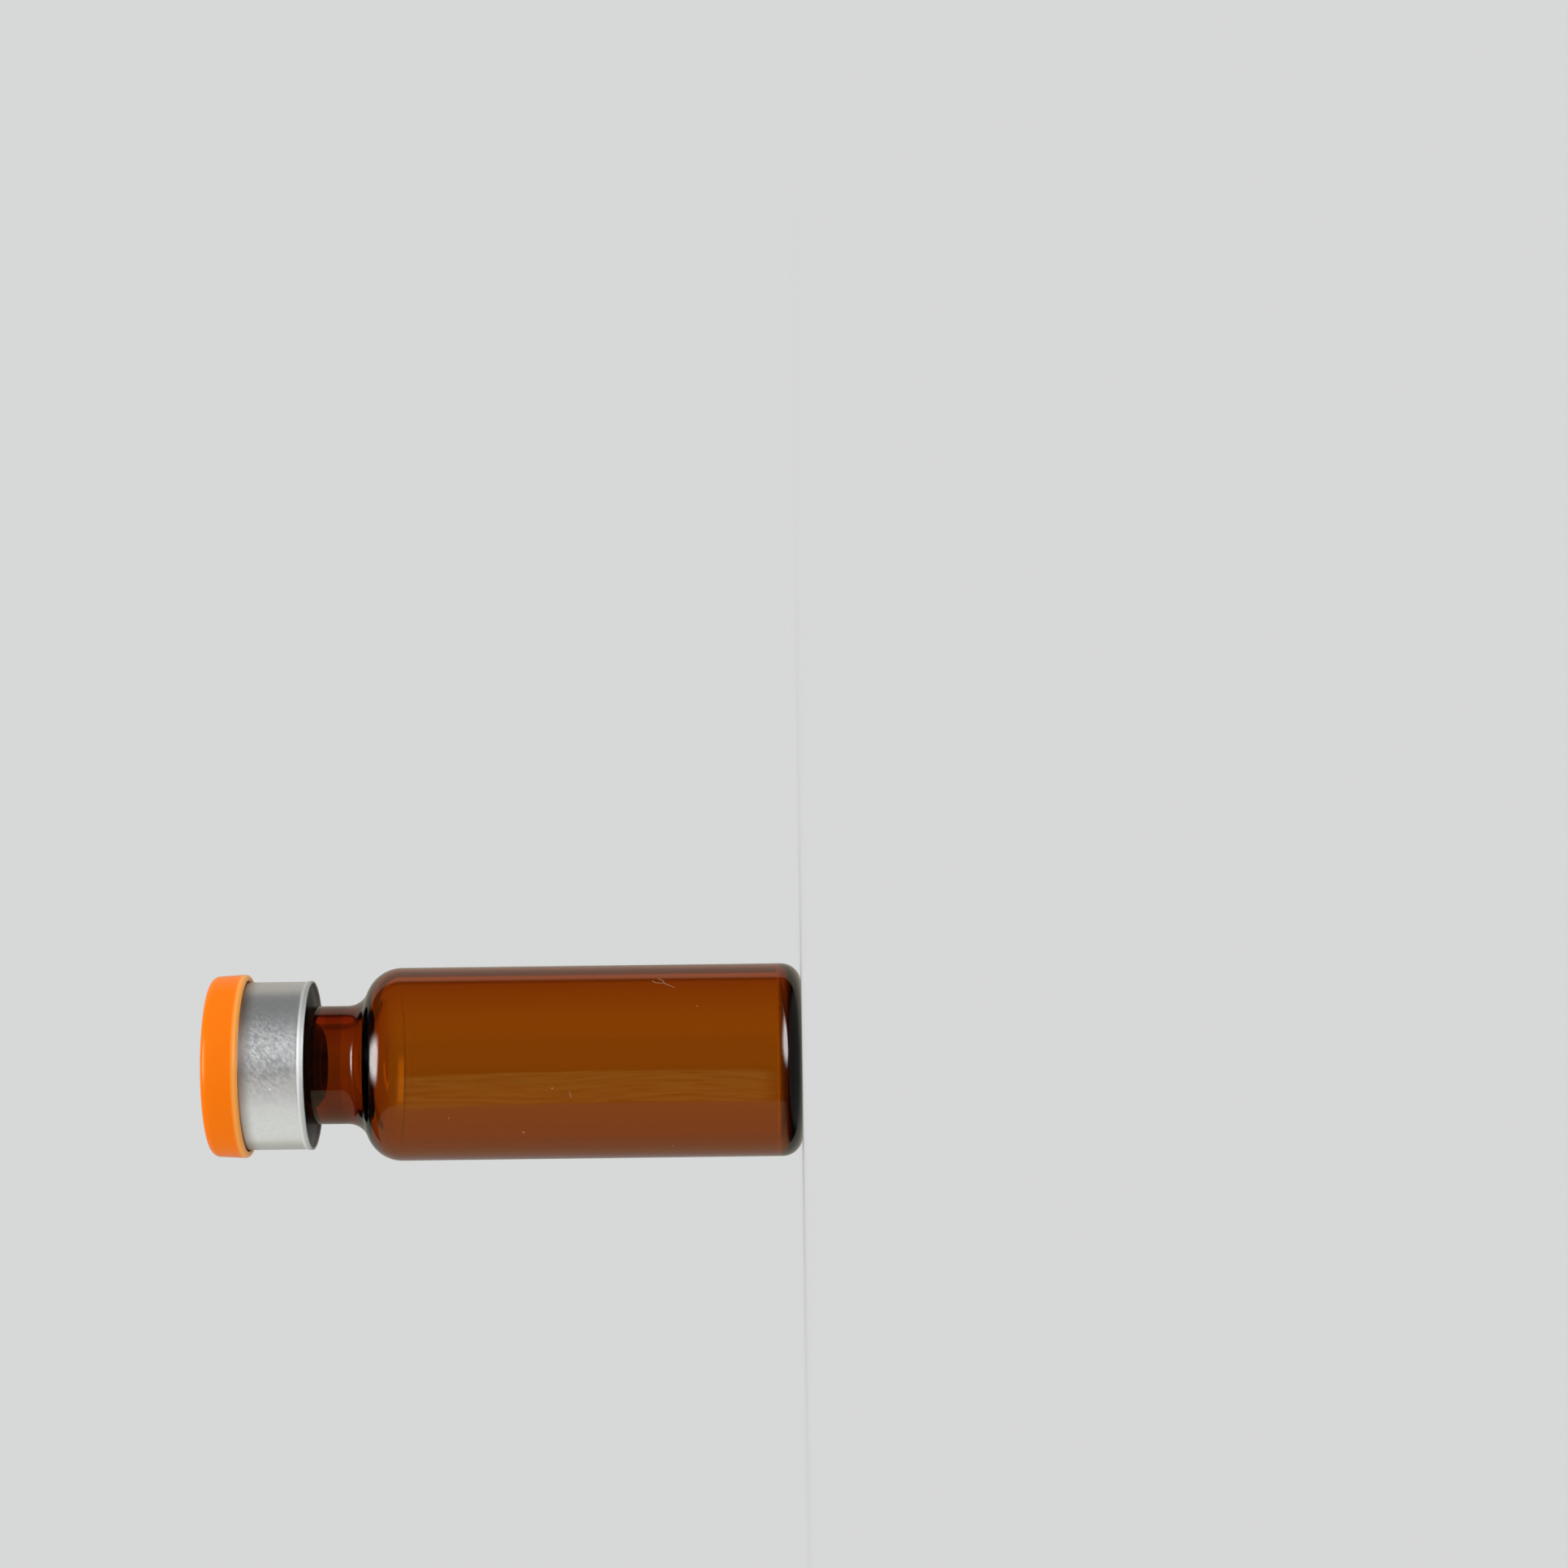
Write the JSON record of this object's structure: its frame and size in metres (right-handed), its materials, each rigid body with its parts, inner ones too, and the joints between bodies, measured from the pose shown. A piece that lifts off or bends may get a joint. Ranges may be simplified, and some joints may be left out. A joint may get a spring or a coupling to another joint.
{
  "type": "glass sample vial",
  "caption": "Small amber glass vial with straight body and short neck, closed by a rubber stopper under an uncrimped aluminium shell with a plastic flip-off button.",
  "frame": {"origin": "centre of the ring that the vial stands on", "axes": "+Z along the vial's axis, from the base to the button; the vial is round about it"},
  "size_m": [0.016, 0.016, 0.049],
  "materials": {
    "amber_glass": "clear amber, polished",
    "dark_rubber": "matte dark grey",
    "satin_aluminium": "satin, lightly scratched",
    "orange_plastic": "glossy orange, moulded"
  },
  "bodies": {
    "vial": {"glass_vial": "amber_glass"},
    "closure": {"rubber_stopper": "dark_rubber", "aluminium_shell": "satin_aluminium", "flip_off_button": "orange_plastic"}
  },
  "joints": [
    {"name": "closure_pull", "type": "slide", "parent": "vial", "child": "closure", "axis": [0, 0, 1], "range_m": [0, 0.012]}
  ]
}
